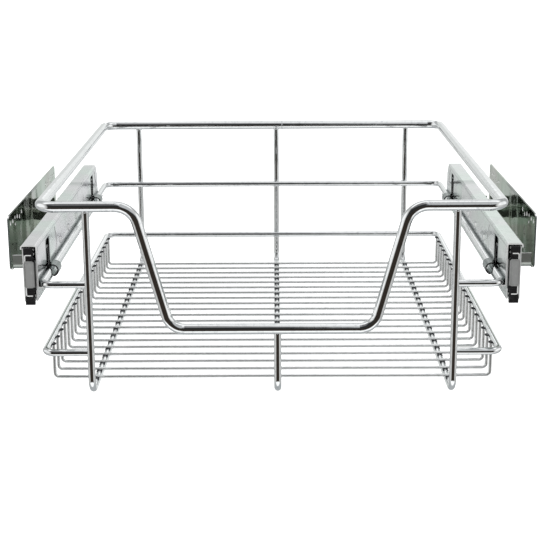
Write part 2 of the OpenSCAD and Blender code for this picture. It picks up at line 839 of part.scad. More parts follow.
module bracket(s) {
    bi = long_bend;
    bo = bi + bracket_t;
    lip_x1 = slide_x1 + bracket_t;
    tab_x0 = slide_x1 + bo + tab_side;
    tab_x1 = bracket_x - bo - tab_side;
    tab_bo = tab_bend + bracket_t;
    color(dark_zinc)
        centred()
            side(s) {
                difference() {
                    along_y(bracket_y0, bracket_y1) {
                        rect([bracket_x - bracket_t, bracket_z0 + bo], [bracket_x, bracket_z1]);
                        quarter([bracket_x - bo, bracket_z0 + bo], bi, bo, 1, -1);
                        rect([slide_x1 + bo, bracket_z0], [bracket_x - bo, bracket_z0 + bracket_t]);
                        quarter([slide_x1 + bo, bracket_z0 + bo], bi, bo, -1, -1);
                        rect([slide_x1, bracket_z0 + bo], [lip_x1, bracket_z0 + lip_h]);
                    }
                    // room for the bends of the end tabs
                    for (y = [bracket_y0 - 1, bracket_y1 - tab_bo])
                        translate([tab_x0 - tab_side / 2, y, bracket_z0 - 1])
                            cube([tab_x1 - tab_x0 + tab_side, tab_bo + 1, bracket_t + 2]);
                    screw_holes();
                    for (y = rivet_y)
                        translate([slide_x1 - 1, y, zc])
                            rotate([0, 90, 0])
                                cylinder(h = bracket_t + 2, r = rivet_r + 0.05);
                    // corners of the plate cut off
                    for (y = [bracket_y0, bracket_y1])
                        translate([bracket_x - bracket_t - 1, y, bracket_z1])
                            rotate([45, 0, 0])
                                translate([0, -plate_cut / sqrt(2), -plate_cut / sqrt(2)])
                                    cube([bracket_t + 2, plate_cut * sqrt(2), plate_cut * sqrt(2)]);
                }
                // tabs at both ends of the floor
                end_tab(tab_x0, tab_x1);
                translate([0, bracket_y0 + bracket_y1, 0])
                    mirror([0, 1, 0])
                        end_tab(tab_x0, tab_x1);
            }
}

// Tab turned up from the floor of the bracket at its front end
module end_tab(x0, x1) {
    bo = tab_bend + bracket_t;
    translate([x0, 0, 0])
        rotate([90, 0, 90])
            linear_extrude(height = x1 - x0) {
                rect([bracket_y0, bracket_z0 + bo], [bracket_y0 + bracket_t, bracket_z0 + tab_h]);
                quarter([bracket_y0 + bo, bracket_z0 + bo], tab_bend, bo, -1, -1);
            }
}

module left_bracket() bracket(-1);
module right_bracket() bracket(1);

// ---- nodes ---------------------------------------------------------------------------

top_rim();
middle_rail();
tray_rail();
left_hoop();
centre_hoop();
right_hoop();
tray_wires();
left_carrier();
right_carrier();
left_carrier_rivets();
right_carrier_rivets();
left_inner_rail();
right_inner_rail();
left_front_cap();
right_front_cap();
left_cap_frame();
right_cap_frame();
left_inner_cage();
right_inner_cage();
left_inner_balls();
right_inner_balls();
left_slide_rail();
right_slide_rail();
left_front_stop();
right_front_stop();
left_outer_cage();
right_outer_cage();
left_outer_balls();
right_outer_balls();
left_outer_rail();
right_outer_rail();
left_rear_block();
right_rear_block();
left_bracket_rivets();
right_bracket_rivets();
left_bracket();
right_bracket();
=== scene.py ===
# %% [markdown]
# # A pull-out cabinet basket in chromed wire
#
# The basket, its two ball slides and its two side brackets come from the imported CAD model, which
# is already in metres. This script gives them their finishes, adds the small things that a CAD
# model of wire leaves out (the welds and their scale), and lights them like a product photograph.
# The cells go in the order in which the scene grows: frame, camera, studio, finishes, wires, welds.

# %% Load the frame
import json
import math

import bmesh
import bpy
from mathutils import Matrix, Vector


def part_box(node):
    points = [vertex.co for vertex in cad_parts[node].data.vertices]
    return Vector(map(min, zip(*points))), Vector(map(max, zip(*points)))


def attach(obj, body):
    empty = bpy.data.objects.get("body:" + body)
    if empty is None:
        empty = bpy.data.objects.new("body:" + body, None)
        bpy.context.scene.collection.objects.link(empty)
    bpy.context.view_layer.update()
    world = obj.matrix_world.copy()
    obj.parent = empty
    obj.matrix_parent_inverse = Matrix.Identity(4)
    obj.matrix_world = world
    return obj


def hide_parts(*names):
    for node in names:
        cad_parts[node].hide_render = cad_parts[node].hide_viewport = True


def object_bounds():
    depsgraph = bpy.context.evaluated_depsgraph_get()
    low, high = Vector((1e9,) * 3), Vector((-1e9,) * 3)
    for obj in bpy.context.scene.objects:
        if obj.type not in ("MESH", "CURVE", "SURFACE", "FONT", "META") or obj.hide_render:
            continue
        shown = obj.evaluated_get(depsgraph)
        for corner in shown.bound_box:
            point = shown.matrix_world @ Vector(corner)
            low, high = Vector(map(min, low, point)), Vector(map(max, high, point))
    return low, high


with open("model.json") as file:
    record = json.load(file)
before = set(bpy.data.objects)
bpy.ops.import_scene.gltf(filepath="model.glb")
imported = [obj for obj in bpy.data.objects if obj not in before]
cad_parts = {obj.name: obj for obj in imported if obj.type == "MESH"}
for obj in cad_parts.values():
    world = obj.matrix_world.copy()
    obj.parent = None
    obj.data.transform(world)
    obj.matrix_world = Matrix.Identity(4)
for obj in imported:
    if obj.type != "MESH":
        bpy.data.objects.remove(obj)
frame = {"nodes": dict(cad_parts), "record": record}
cad_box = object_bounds()
low, high = (Vector(corner) for corner in cad_box)
print("CAD box in mm:", [round(v * 1000) for v in high - low], "nodes:", len(frame["nodes"]))

# %% Helpers for sizes
MM = 0.001


def mm(*values):
    """Sizes in metres, from millimetres."""
    return tuple(value * MM for value in values)


def mm_from(start, *offsets):
    """Places along an axis, each so many millimetres from a place of the model."""
    return tuple(start + offset * MM for offset in offsets)


def middle(node, axis):
    a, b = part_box(node)
    return (a[axis] + b[axis]) / 2


# %% [markdown]
# The camera stands a little above the basket and looks almost straight at its front. Its place was
# found by fitting a pinhole camera to points on the wires, whose sizes are known from the model:
# a metre in front of the rim, 37 cm above the feet, looking down by 15 degrees.

# %% Camera
IMAGE_SIZE = 540                                     # pixels, the picture is square
FOCAL_PIXELS = 1313.6
camera_place = Vector(mm(2.5, -1227.0, 373.3))
look_down = math.radians(14.84)
look_left = math.radians(0.22)
tilt = math.radians(-0.31)

camera_data = bpy.data.cameras.new("camera")
camera_data.sensor_fit = "HORIZONTAL"
camera_data.sensor_width = 36.0
camera_data.lens = FOCAL_PIXELS / IMAGE_SIZE * camera_data.sensor_width
camera_data.clip_start = 0.02
camera_data.clip_end = 60.0
camera = bpy.data.objects.new("camera", camera_data)
bpy.context.scene.collection.objects.link(camera)
turn = (
    Matrix.Rotation(look_left, 4, "Z")
    @ Matrix.Rotation(math.pi / 2 - look_down, 4, "X")
    @ Matrix.Rotation(tilt, 4, "Z")
)
camera.matrix_world = Matrix.Translation(camera_place) @ turn
bpy.context.scene.camera = camera
bpy.context.scene.view_settings.view_transform = "Standard"
print("lens of", round(camera_data.lens, 1), "mm, camera at", [round(v, 3) for v in camera_place])

# %% [markdown]
# Nodes are wired by many small steps, so one helper makes a node, sets its inputs by name, and
# returns it. An input that is given a socket is linked, and any other value is simply set. The
# helpers after it each stand for one kind of node and return its result.

# %% Helpers for shader nodes
def set_input(tree, socket, value):
    if isinstance(value, bpy.types.NodeSocket):
        tree.links.new(value, socket)
    else:
        socket.default_value = value


def add_node(tree, kind, inputs=(), **settings):
    node = tree.nodes.new(kind)
    for name, value in settings.items():
        setattr(node, name, value)
    for name, value in dict(inputs).items():
        set_input(tree, node.inputs[name], value)
    return node


def compute(tree, operation, *values):
    return add_node(tree, "ShaderNodeMath", enumerate(values), operation=operation).outputs[0]


def product(tree, first, *others):
    for other in others:
        first = compute(tree, "MULTIPLY", first, other)
    return first


def larger(tree, first, *others):
    for other in others:
        first = compute(tree, "MAXIMUM", first, other)
    return first


def ramp(tree, value, start=0.0, end=1.0, first=0.0, last=1.0, shape="LINEAR"):
    """First up to start, last from end on, and a slope between."""
    inputs = {"Value": value, "From Min": start, "From Max": end, "To Min": first, "To Max": last}
    return add_node(tree, "ShaderNodeMapRange", inputs, interpolation_type=shape).outputs["Result"]


def band(tree, value, start, end):
    """0 below start, 1 above end, smooth between; start may be the larger one."""
    return ramp(tree, value, start, end, shape="SMOOTHSTEP")


def noise(tree, where, scale, detail, **others):
    inputs = {"Vector": where, "Scale": scale, "Detail": detail, **others}
    return add_node(tree, "ShaderNodeTexNoise", inputs).outputs["Fac"]


def blend_colours(tree, factor, first, second, mode="MIX"):
    """Mix node for colours; its sockets share names, so they are set by their place."""
    node = add_node(tree, "ShaderNodeMix", data_type="RGBA", blend_type=mode)
    for place, value in ((0, factor), (6, first), (7, second)):
        plain_colour = isinstance(value, tuple)
        set_input(tree, node.inputs[place], (*value, 1) if plain_colour else value)
    return node.outputs[2]


finishes = {}


def start_finish(name):
    """An empty material, which finishes keeps under its name."""
    material = bpy.data.materials.new(name)
    material.use_nodes = True
    material.node_tree.nodes.clear()
    finishes[name] = material
    return material.node_tree


# %% [markdown]
# Chrome shows nothing of its own: it is a mirror, so the room makes its look. In a product shot
# a soft box hangs overhead, white paper lies in front, and the camera side of the room is dark.
# Each wire then shows a dark band along its middle, white beside it, and the grey of the walls at
# its two rims. The world does this here. Diffuse light sees an even pale room, the camera sees
# white, and only reflections see this room. These are the colours of its parts. The dark side is
# not one plain dark: a grey panel hangs in it, and two paler parts stand over it, as the small
# differences along the photographed wires show.

# %% Colours of the room
PAPER = (1.08, 1.09, 1.09)
DARK_LOW = (0.033, 0.027, 0.022)                     # a trace brown, below eye level
DARK_SIDE = (0.026, 0.027, 0.027)
DARK_HIGH = (0.19, 0.19, 0.195)                      # the dark side fades towards the ceiling
GREY_PANEL = (0.50, 0.51, 0.52)                      # hangs in the dark, right of the middle
HIGH_LEFT = (0.36, 0.36, 0.37)                       # over the dark side, left of the middle
HIGH_RIGHT = (0.84, 0.85, 0.86)                      # and right of it
SIDE_WALL = (0.60, 0.60, 0.59)
SIDE_HIGH = (0.98, 0.99, 0.99)                       # bright part of the side walls
BACK_CORNER = (0.42, 0.43, 0.43)
FAR_LEFT = (0.62, 0.64, 0.63)
FAR_RIGHT = (0.76, 0.78, 0.78)
FAR_LEFT_HIGH = (0.72, 0.74, 0.73)
FAR_RIGHT_HIGH = (0.86, 0.88, 0.87)
FAR_MIDDLE = (1.04, 1.05, 1.05)                      # straight ahead, above the horizon
UNDER = (0.42, 0.44, 0.45)
CEILING = (0.80, 0.81, 0.82)
WHITE = (1.0, 1.0, 1.0)
EVEN_ROOM = (0.80, 0.80, 0.80)
print("the room goes from", DARK_SIDE[1], "on its dark side to", PAPER[1], "on the paper")

# %% [markdown]
# The parts of the room meet in soft edges. An edge is a step along one axis of the direction that
# a reflection takes: X to the right, Y away from the camera, Z up, "across" to either side, and
# "leaning", which is Y with a little of the height taken off. Each goes from 0 to 1 between its
# two numbers.

# %% Edges of the room
LEAN = -0.1
EDGES = {
    "right_half": ("X", -0.06, 0.06),
    "far_wall": ("Y", 0.80, 0.90),
    "far_wall_high": ("Z", -0.18, 0.02),
    "far_wall_middle": ("across", 0.160, 0.135),
    "above_horizon": ("Z", 0.235, 0.262),
    "back_corner": ("Y", 0.05, 0.30),
    "side": ("across", 0.78, 0.90),
    "side_high": ("Z", -0.19, -0.10),
    "ceiling": ("Z", 0.66, 0.80),
    "ceiling_back": ("Y", 0.26, 0.40),
    "under": ("Z", -0.50, -0.62),
    "in_front": ("Y", -0.18, -0.36),
    "dark_front": ("leaning", -0.13, -0.25),
    "dark_width": ("across", 0.80, 0.62),
    "above_paper": ("Z", -0.62, -0.50),
    "eye_level": ("Z", -0.05, 0.10),
    "dark_high": ("Z", 0.58, 0.74),
    "panel_side": ("X", 0.0, 0.10),
    "panel_foot": ("Z", 0.28, 0.42),
    "high_middle": ("across", 0.130, 0.110),
    "high_foot": ("Z", 0.70, 0.88),
}

world = bpy.data.worlds.new("room")
bpy.context.scene.world = world
world.use_nodes = True
room = world.node_tree
room.nodes.clear()
direction = add_node(room, "ShaderNodeTexCoord").outputs["Generated"]
axes = add_node(room, "ShaderNodeSeparateXYZ", {"Vector": direction}).outputs
along = {name: axes[name] for name in "XYZ"}
along["across"] = compute(room, "ABSOLUTE", axes["X"])
along["leaning"] = compute(room, "MULTIPLY_ADD", axes["Z"], LEAN, axes["Y"])


def past_edge(name):
    axis, start, end = EDGES[name]
    return band(room, along[axis], start, end)


def layered(base, *layers):
    """Lay colours over a base, each where all the edges that follow it are passed."""
    for colour, *edges in layers:
        base = blend_colours(room, product(room, *map(past_edge, edges)), base, colour)
    return base


print(len(EDGES), "edges of the room")

# %% Build the room
far_low = layered(FAR_LEFT, (FAR_RIGHT, "right_half"))
far_high = layered(FAR_LEFT_HIGH, (FAR_RIGHT_HIGH, "right_half"))
far_wall = layered(
    far_low, (far_high, "far_wall_high"), (FAR_MIDDLE, "far_wall_middle", "above_horizon"),
)
walls = layered(
    SIDE_WALL,
    (BACK_CORNER, "back_corner"),
    (SIDE_HIGH, "side", "side_high"),
    (far_wall, "far_wall"),
    (layered(PAPER, (CEILING, "ceiling_back")), "ceiling"),
    (UNDER, "under"),
    (PAPER, "under", "in_front"),
)
dark_side = layered(
    DARK_LOW,
    (DARK_SIDE, "eye_level"),
    (DARK_HIGH, "dark_high"),
    (GREY_PANEL, "panel_side", "panel_foot"),
    (layered(HIGH_LEFT, (HIGH_RIGHT, "right_half")), "high_middle", "high_foot"),
)
reflected = layered(walls, (dark_side, "dark_front", "dark_width", "above_paper"))

ray = add_node(room, "ShaderNodeLightPath").outputs
seen_by_light = blend_colours(room, ray["Is Glossy Ray"], EVEN_ROOM, reflected)
seen = blend_colours(room, ray["Is Camera Ray"], seen_by_light, WHITE)
background = add_node(room, "ShaderNodeBackground", {"Color": seen, "Strength": 1.0})
add_node(room, "ShaderNodeOutputWorld", {"Surface": background.outputs[0]})
print("the room has", len(room.nodes), "nodes")

# %% [markdown]
# The floor is a sheet of white paper. It has to stay white in the picture and still take the
# faint shadows of the wires, so it glows a little for the camera only, and the lamps do the rest.
# Reflections pass through it and see the lower part of the room.

# %% The floor
FLOOR_SIZE = 14.0
FLOOR_GAP = 0.45 * MM                                # the plated wires below reach this far down
FLOOR_GREY = (0.62, 0.62, 0.62, 1)
FLOOR_GLOW = 0.88

floor_mesh = bpy.data.meshes.new("floor")
plane = bmesh.new()
bmesh.ops.create_grid(plane, x_segments=1, y_segments=1, size=FLOOR_SIZE / 2)
bmesh.ops.translate(plane, verts=plane.verts, vec=(0, 0, low.z - FLOOR_GAP))
plane.to_mesh(floor_mesh)
plane.free()
floor = bpy.data.objects.new("floor", floor_mesh)
bpy.context.scene.collection.objects.link(floor)

tree = start_finish("paper_floor")
ray = add_node(tree, "ShaderNodeLightPath").outputs
matt = add_node(tree, "ShaderNodeBsdfDiffuse", {"Color": FLOOR_GREY})
glow_strength = product(tree, ray["Is Camera Ray"], FLOOR_GLOW)
glow = add_node(tree, "ShaderNodeEmission", {"Color": (1, 1, 1, 1), "Strength": glow_strength})
lit = add_node(tree, "ShaderNodeAddShader", {0: matt.outputs[0], 1: glow.outputs[0]})
clear = add_node(tree, "ShaderNodeBsdfTransparent")
both = add_node(
    tree, "ShaderNodeMixShader",
    {0: ray["Is Glossy Ray"], 1: lit.outputs[0], 2: clear.outputs[0]},
)
add_node(tree, "ShaderNodeOutputMaterial", {"Surface": both.outputs[0]})
floor.data.materials.append(finishes["paper_floor"])
print("floor at height", round(low.z - FLOOR_GAP, 5))

# %% [markdown]
# Two big soft lamps are enough: one overhead, a little behind the basket, and a weaker one at the
# front left. They are large, so no shadow has a hard edge. The metal doesn't mirror them, because
# the room already has a bright ceiling where they hang.

# %% Lamps
def soft_lamp(name, place, aim, size, power):
    data = bpy.data.lights.new(name, "AREA")
    data.shape = "RECTANGLE"
    data.size, data.size_y = size
    data.energy = power
    lamp = bpy.data.objects.new(name, data)
    lamp.location = place
    lamp.visible_glossy = False
    lamp.rotation_euler = (Vector(aim) - Vector(place)).to_track_quat("-Z", "Y").to_euler()
    bpy.context.scene.collection.objects.link(lamp)
    print("lamp", name, "at", place, "with", power, "W")


soft_lamp("overhead", place=(0.1, 0.35, 1.9), aim=(0, 0, 0.05), size=(2.2, 1.6), power=10)
soft_lamp("front_left", place=(-1.5, -1.3, 1.2), aim=(0, 0, 0.08), size=(1.0, 1.0), power=9)

# %% [markdown]
# The finishes share four effects, so each is a node group with its own inputs: the soft ripple of
# plating, the marks that handling leaves, the grain of rolled sheet, and the green and pink
# clouds that passivated zinc shows.
# All read Object coordinates, which are metres here, so a scale of 400 means features of
# about 2.5 mm.

# %% Helpers for node groups
def open_group(name, inputs):
    group = bpy.data.node_groups.new(name, "ShaderNodeTree")
    for label, default in inputs.items():
        socket = group.interface.new_socket(label, in_out="INPUT", socket_type="NodeSocketFloat")
        socket.default_value = default
    where = add_node(group, "ShaderNodeTexCoord").outputs["Object"]
    return group, add_node(group, "NodeGroupInput").outputs, where


def close_group(group, **results):
    for label in results:
        group.interface.new_socket(label, in_out="OUTPUT", socket_type="NodeSocketFloat")
    add_node(group, "NodeGroupOutput", results)
    print("group", group.name, "gives", ", ".join(results))


def place_group(tree, group, **values):
    node = add_node(tree, "ShaderNodeGroup", node_tree=group)
    for name, value in values.items():
        set_input(tree, node.inputs[name.replace("_", " ")], value)
    return node.outputs


# %% Group: ripple of plating
FINE_SHARE = 0.12                                    # height of the fine ripple

ripple, ins, where = open_group("plating_ripple", {"Scale": 90.0, "Fine Scale": 900.0})
broad = noise(ripple, where, ins["Scale"], detail=1.0)
fine = noise(ripple, where, ins["Fine Scale"], detail=2.0)
height = compute(ripple, "ADD", broad, product(ripple, fine, FINE_SHARE))
close_group(ripple, Height=height)

# %% Group: marks of handling
SMEAR_EDGE = 0.22                                    # how softly a smear begins
SCRATCH_TURN = (0.5, 0.3, 0.7)
SCRATCH_SCALE = (30, 900, 900)                       # long along their first axis
SCRATCH_EDGE = (0.68, 0.74)

marks, ins, where = open_group("handling_marks", {"Scale": 160.0, "Cover": 0.55})
smears = noise(marks, where, ins["Scale"], detail=5.0, Roughness=0.62)
full_cover = compute(marks, "ADD", ins["Cover"], SMEAR_EDGE)
scratch_space = add_node(
    marks, "ShaderNodeMapping",
    {"Vector": where, "Rotation": SCRATCH_TURN, "Scale": SCRATCH_SCALE},
).outputs[0]
lines = noise(marks, scratch_space, 1.0, detail=1.0)
close_group(
    marks,
    Mask=ramp(marks, smears, ins["Cover"], full_cover),
    Scratch=ramp(marks, lines, *SCRATCH_EDGE),
)

# %% Group: grain of rolled sheet
ROLLED = (1.0, 0.02, 1.0)                            # the lines run along the slides

grain, ins, where = open_group("rolled_grain", {"Crystal Scale": 120.0, "Line Scale": 1500.0})
crystals = add_node(
    grain, "ShaderNodeTexVoronoi",
    {"Vector": where, "Scale": ins["Crystal Scale"], "Randomness": 1.0},
).outputs["Color"]
crystal_tone = add_node(grain, "ShaderNodeSeparateColor", {"Color": crystals}).outputs[0]
stretch = add_node(grain, "ShaderNodeVectorMath", {0: where, 1: ROLLED}, operation="MULTIPLY")
rolled = noise(grain, stretch.outputs[0], ins["Line Scale"], detail=3.0)
tone = compute(grain, "MULTIPLY_ADD", crystal_tone, 0.5, product(grain, rolled, 0.5))
close_group(grain, Tone=tone, Height=rolled)

# %% Group: colours of the passivation
CLOUD_EDGE = (0.38, 0.62)

passivation, ins, where = open_group("passivation", {"Scale": 22.0})
clouds = noise(passivation, where, ins["Scale"], detail=2.0)
close_group(passivation, Mask=ramp(passivation, clouds, *CLOUD_EDGE))

# %% [markdown]
# Every finish ends in one Principled BSDF. Its colour and roughness wander a little with the marks
# and the grain, and a Bump node with a very small distance bends the reflections.

# %% Helpers for finishes
def object_axes(tree):
    where = add_node(tree, "ShaderNodeTexCoord").outputs["Object"]
    return add_node(tree, "ShaderNodeSeparateXYZ", {"Vector": where}).outputs


def distance_to(tree, value, place):
    return compute(tree, "ABSOLUTE", compute(tree, "SUBTRACT", value, place))


def plateau(tree, value, foot, top, top_end, foot_end):
    """0 outside the two feet, 1 on the top between them."""
    return product(tree, band(tree, value, foot_end, top_end), band(tree, value, foot, top))


def bumped(tree, height, strength, distance, under=None):
    """Normals bent by a height, over normals that are already bent or over the plain ones."""
    inputs = {"Height": height, "Strength": strength, "Distance": distance}
    if under is not None:
        inputs["Normal"] = under
    return add_node(tree, "ShaderNodeBump", inputs).outputs["Normal"]


def finish_surface(tree, colour, roughness, metallic, normal=None):
    inputs = {"Base Color": colour, "Roughness": roughness, "Metallic": metallic}
    if normal is not None:
        inputs["Normal"] = normal
    shader = add_node(tree, "ShaderNodeBsdfPrincipled", inputs)
    add_node(tree, "ShaderNodeOutputMaterial", {"Surface": shader.outputs[0]})


# %% [markdown]
# Chrome plate is nearly a mirror, a trace duller where hands and dust have been. The thin wires
# carry less chrome over the milky nickel below it, so they are given a little less Metallic.

# %% Finish of the wires
def plated_wire(name, colour, dull, gloss, cover, metallic=1.0):
    tree = start_finish(name)
    wear = place_group(tree, marks, Scale=240.0, Cover=cover)["Mask"]
    wave = place_group(tree, ripple, Scale=75.0)["Height"]
    rough = ramp(tree, wear, first=gloss[0], last=gloss[1])
    normal = bumped(tree, wave, strength=0.35, distance=0.25 * MM)
    finish_surface(tree, blend_colours(tree, wear, colour, dull), rough, metallic, normal)


# %% [markdown]
# The sheet parts aren't evenly lit, so their finishes carry painted shade and painted reflections:
# painted shade in the folds of a carrier and beside its slots, painted reflections at the slots'
# feet and of the rail's corner, painted shade on the inner rails behind the slots, and on the front
# of a bracket. Their places are counted from the boxes of the pieces.

# %% Places of the marks on the carriers
WIRE_MIDDLE = middle("middle_rail", 2)
CARRIER_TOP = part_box("left_carrier")[1][2]
SLOT_Y = mm(-155, 123)                               # middles of the tongues' slots

# The marks on a carrier are painted shade and painted reflections, darkening its face where shade
# falls.
WIRE_SHADE = mm_from(WIRE_MIDDLE, -1.5, 0.0, 4.6, 7.6)        # height, in the corner over the wire
FOOT_SHADE = mm_from(CARRIER_TOP, -11.0, -27.0)               # height, growing downwards
FOOT_REACH, FOOT_END, FOOT_FORWARD = mm(12, 30, 16)           # from the middle of a slot
SLOT_SIDE_SHADE = mm_from(CARRIER_TOP, -26.0, -25.0, -6.2, -5.4)  # height, beside a slot
SLOT_SIDE_SHADE_REACH, SLOT_SIDE_SHADE_END = mm(10.2, 11.2)
UPPER_BEND = CARRIER_TOP - 2.6 * MM
BEND_HALF, BEND_END = mm(0.3, 0.9)
# painted reflection of the rail's corner, a curved dark line on the carrier
RAIL_LINE_START, RAIL_LINE_REACH, RAIL_LINE_DROP = mm(9, 112, 17)               # the line falls as a parabola
RAIL_LINE_TOP = CARRIER_TOP + 2.0 * MM
RAIL_LINE_ALONG = mm(30, 60, 112, 118)
RAIL_LINE_HALF, RAIL_LINE_END = mm(0.4, 2.0)
CUT_REACH, CUT_END = mm(9.0, 9.6)                             # the cut faces of a slot
WINDOW_REACH, WINDOW_END = mm(9.4, 10.2)                      # what a slot shows of the rail
WINDOW_HEIGHT = mm_from(CARRIER_TOP, -34.0, -33.0, -5.0, -4.4)
STRENGTH = {"wire": 0.85, "foot": 0.66, "slot_side_shade": 1.4, "bend": 0.30, "rail_reflection": 0.45}  # 1.4: full early
print("carriers up to", round(CARRIER_TOP, 4), "middle rail at", round(WIRE_MIDDLE, 4))

# %% Marks on the carriers
def near_slots(tree, spot, inner, outer, forward=0.0):
    """1 within inner of the middle of a slot along the slide, 0 beyond outer."""
    places = [slot_y - forward for slot_y in SLOT_Y]
    gaps = [distance_to(tree, spot["Y"], place) for place in places]
    return larger(tree, *[band(tree, gap, outer, inner) for gap in gaps])


def rail_reflection_line(tree, spot):
    """A painted reflection of the corner of the rail: a curved dark line on the carrier's face."""
    back = product(tree, compute(tree, "SUBTRACT", spot["Y"], RAIL_LINE_START), 1 / RAIL_LINE_REACH)
    drop = product(tree, back, back, -RAIL_LINE_DROP)
    height = compute(tree, "ADD", drop, RAIL_LINE_TOP)
    width = band(tree, distance_to(tree, spot["Z"], height), RAIL_LINE_END, RAIL_LINE_HALF)
    return product(tree, width, plateau(tree, spot["Y"], *RAIL_LINE_ALONG))


def carrier_painted_shade(tree):
    """Painted shade and painted reflections on the upright face of a carrier, as the strongest of
    its marks.
    """
    spot = object_axes(tree)
    foot = near_slots(tree, spot, FOOT_REACH, FOOT_END, FOOT_FORWARD)
    slot_side_shade = near_slots(tree, spot, SLOT_SIDE_SHADE_REACH, SLOT_SIDE_SHADE_END)
    bend = band(tree, distance_to(tree, spot["Z"], UPPER_BEND), BEND_END, BEND_HALF)
    # painted shade over the rail wire, beside the slots and along the upper bend; painted
    # reflections at the slots' feet and of the rail's corner
    masks = {
        "wire": plateau(tree, spot["Z"], *WIRE_SHADE),
        "foot": product(tree, foot, band(tree, spot["Z"], *FOOT_SHADE)),
        "slot_side_shade": product(tree, slot_side_shade, plateau(tree, spot["Z"], *SLOT_SIDE_SHADE)),
        "bend": bend,
        "rail_reflection": rail_reflection_line(tree, spot),
    }
    return larger(tree, *[product(tree, mask, STRENGTH[name]) for name, mask in masks.items()])


def painted_slot_shade(tree):
    """Painted shade on the slots' cut faces, so that the slots look dark."""
    return near_slots(tree, object_axes(tree), CUT_REACH, CUT_END)


def painted_window_shade(tree):
    """Painted shade on the inner rail, where the slots of the carrier leave it open."""
    spot = object_axes(tree)
    window = near_slots(tree, spot, WINDOW_REACH, WINDOW_END)
    return product(tree, window, plateau(tree, spot["Z"], *WINDOW_HEIGHT))


# %% Places of the marks on the brackets
BRACKET_FRONT, BRACKET_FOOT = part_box("right_bracket")[0][1:]
BRACKET_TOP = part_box("right_bracket")[1][2]
BRACKET_IN, BRACKET_OUT = (corner[0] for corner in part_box("right_bracket"))
TAB_TOP = BRACKET_FOOT + 13.6 * MM

# painted reflection of the shaded gap beside the slide: darkest in front and along the upper edge
FRONT_SHADE_ALONG = mm_from(BRACKET_FRONT, 174, 54)               # most in front
FRONT_SHADE_DEPTH = 0.72
RIM_HEIGHT = mm_from(BRACKET_TOP, -2.6, -1.8)                 # the dark upper edge
RIM_ALONG = mm_from(BRACKET_FRONT, 164, 124)
PLATE_END = mm_from(BRACKET_FRONT, 1.5, 1.0)                  # the cut edge of the plate in front
PLATE_SIDE = mm_from(BRACKET_OUT, -1.9, -1.6)
TAB_HEIGHT = mm_from(TAB_TOP, -0.2, -0.8)
TAB_ACROSS = mm_from(BRACKET_IN, 2.9, 3.4, 29.0, 29.5)        # between the long bends
print("brackets from", round(BRACKET_IN, 4), "to", round(BRACKET_OUT, 4), "on either side")

# %% Marks on the brackets
def from_middle(tree, spot):
    return compute(tree, "ABSOLUTE", spot["X"])


def bent_tab(tree):
    """1 on the turned-up tabs of the brackets, below their upper edge and between the bends."""
    spot = object_axes(tree)
    below_edge = band(tree, spot["Z"], *TAB_HEIGHT)
    return product(tree, below_edge, plateau(tree, from_middle(tree, spot), *TAB_ACROSS))


def bracket_painted_shade(tree):
    """Painted reflection of the shaded gap beside the slide: the front half of a bracket is darker
    than its back half, and darkest along the upper edge of the plate."""
    spot = object_axes(tree)
    front_half = product(tree, band(tree, spot["Y"], *FRONT_SHADE_ALONG), FRONT_SHADE_DEPTH)
    rim = product(tree, band(tree, spot["Z"], *RIM_HEIGHT), band(tree, spot["Y"], *RIM_ALONG))
    return larger(tree, front_half, rim)


def front_end(tree):
    """The front end of a bracket's upright plate, whose cut edge gets the same painted shade as its
    face.
    """
    spot = object_axes(tree)
    end = band(tree, spot["Y"], *PLATE_END)
    return product(tree, end, band(tree, from_middle(tree, spot), *PLATE_SIDE))


# %% [markdown]
# Zinc plate on rolled sheet has faint crystals and rolling lines, and a cloudy gloss. Where the
# sheet was cut across, at its ends and in its holes, the edge is rough and pale.

# %% Finish of the sheet parts
CUT_STEEP = (0.35, 0.75)                             # how squarely a cut face looks along Y
SCRATCH_TONE = (0.9, 0.9, 0.9)
SCRATCH_SHARE = 0.35
EDGE_TONE = (0.90, 0.91, 0.90)
EDGE_METALLIC = 0.15
EDGE_ROUGHNESS = 0.5
FACE_SPARED = 0.62                                   # how far a tab's face is spared that look


def cut_edge(tree):
    """1 on faces that look forwards or back along the slides, where the sheet is cut across."""
    facing = add_node(tree, "ShaderNodeTexCoord").outputs["Normal"]
    along_slide = add_node(tree, "ShaderNodeSeparateXYZ", {"Vector": facing}).outputs["Y"]
    return band(tree, compute(tree, "ABSOLUTE", along_slide), *CUT_STEEP)


